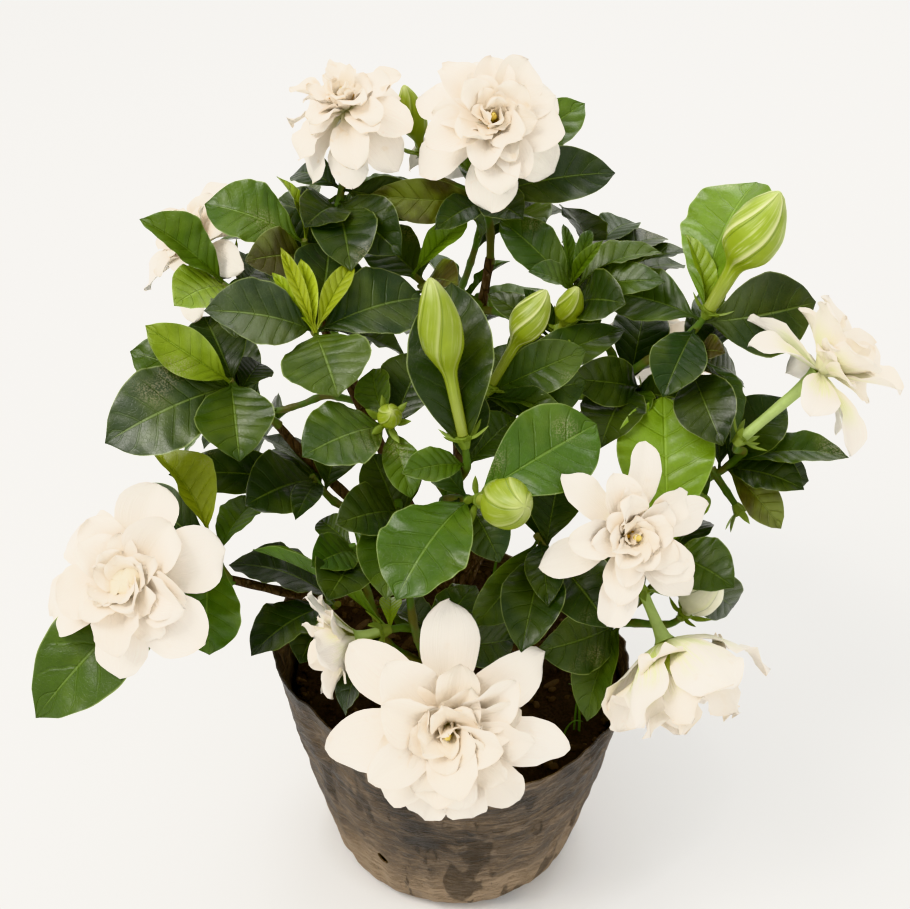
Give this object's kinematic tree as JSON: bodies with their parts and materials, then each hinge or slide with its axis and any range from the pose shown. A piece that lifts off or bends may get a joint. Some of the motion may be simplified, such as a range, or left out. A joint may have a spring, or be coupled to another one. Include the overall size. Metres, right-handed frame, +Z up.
{
  "type": "potted gardenia",
  "caption": "Bushy potted garden shrub with glossy leaves, creamy many-petalled blooms and pointed buds, growing in a black film grow bag.",
  "frame": {"origin": "centre of the bag's flat base, on the ground", "axes": "+Z up, -Y towards the plant's front, +X to the right seen from the front"},
  "size_m": [0.3651, 0.2972, 0.4045],
  "materials": {
    "black_film": "dull black film, creased and dusty",
    "potting_soil": "damp, crumbly and matt",
    "bark": "rough grey-brown bark",
    "petal": "soft satin, creamy white",
    "aged_petal": "soft satin, cream turning yellow",
    "bud_green": "waxy, yellow-green with pale streaks",
    "leaf_green": "smooth and slightly glossy, with pale veins",
    "deep_leaf_green": "smooth and slightly glossy, with pale veins",
    "bright_leaf_green": "smooth and slightly glossy, with pale veins",
    "dark_leaf_green": "smooth and slightly glossy, with pale veins"
  },
  "bodies": {
    "root": {"bloom_back_high": "petal", "bloom_back_right_low": "petal", "bloom_bag_left": "petal", "bloom_bag_right": "petal", "bloom_far_left": "aged_petal", "bloom_front": "petal", "bloom_left_low": "petal", "bloom_right_end": "petal", "bloom_right_front": "petal", "bloom_top_left": "aged_petal", "bloom_top_right": "petal", "bud_bag_right": "bud_green", "bud_central": "bud_green", "bud_centre_front": "bud_green", "bud_centre_left": "bud_green", "bud_centre_right": "bud_green", "bud_middle_back": "bud_green", "bud_right_high": "bud_green", "bud_top_right": "bud_green", "grow_bag": "black_film", "potting_soil": "potting_soil", "shoot_back_high": "deep_leaf_green", "shoot_back_left_high": "dark_leaf_green", "shoot_back_left_low": "leaf_green", "shoot_back_low": "bright_leaf_green", "shoot_back_right_high": "dark_leaf_green", "shoot_back_right_low": "leaf_green", "shoot_bag_left": "leaf_green", "shoot_bag_right": "dark_leaf_green", "shoot_central": "leaf_green", "shoot_centre_front": "deep_leaf_green", "shoot_centre_left": "bright_leaf_green", "shoot_centre_low": "dark_leaf_green", "shoot_centre_right": "bright_leaf_green", "shoot_crown_left": "leaf_green", "shoot_crown_right": "deep_leaf_green", "shoot_far_left": "bright_leaf_green", "shoot_front": "deep_leaf_green", "shoot_front_right": "bright_leaf_green", "shoot_high_left": "deep_leaf_green", "shoot_left": "dark_leaf_green", "shoot_left_inner": "leaf_green", "shoot_left_low": "deep_leaf_green", "shoot_low_dark": "dark_leaf_green", "shoot_low_left": "bright_leaf_green", "shoot_middle_back": "dark_leaf_green", "shoot_right_end": "deep_leaf_green", "shoot_right_front": "leaf_green", "shoot_right_high": "dark_leaf_green", "shoot_right_inner": "leaf_green", "shoot_right_mid": "bright_leaf_green", "shoot_top_left": "leaf_green", "shoot_top_middle": "bright_leaf_green", "shoot_top_right": "deep_leaf_green", "woody_stems": "bark"}
  },
  "joints": []
}
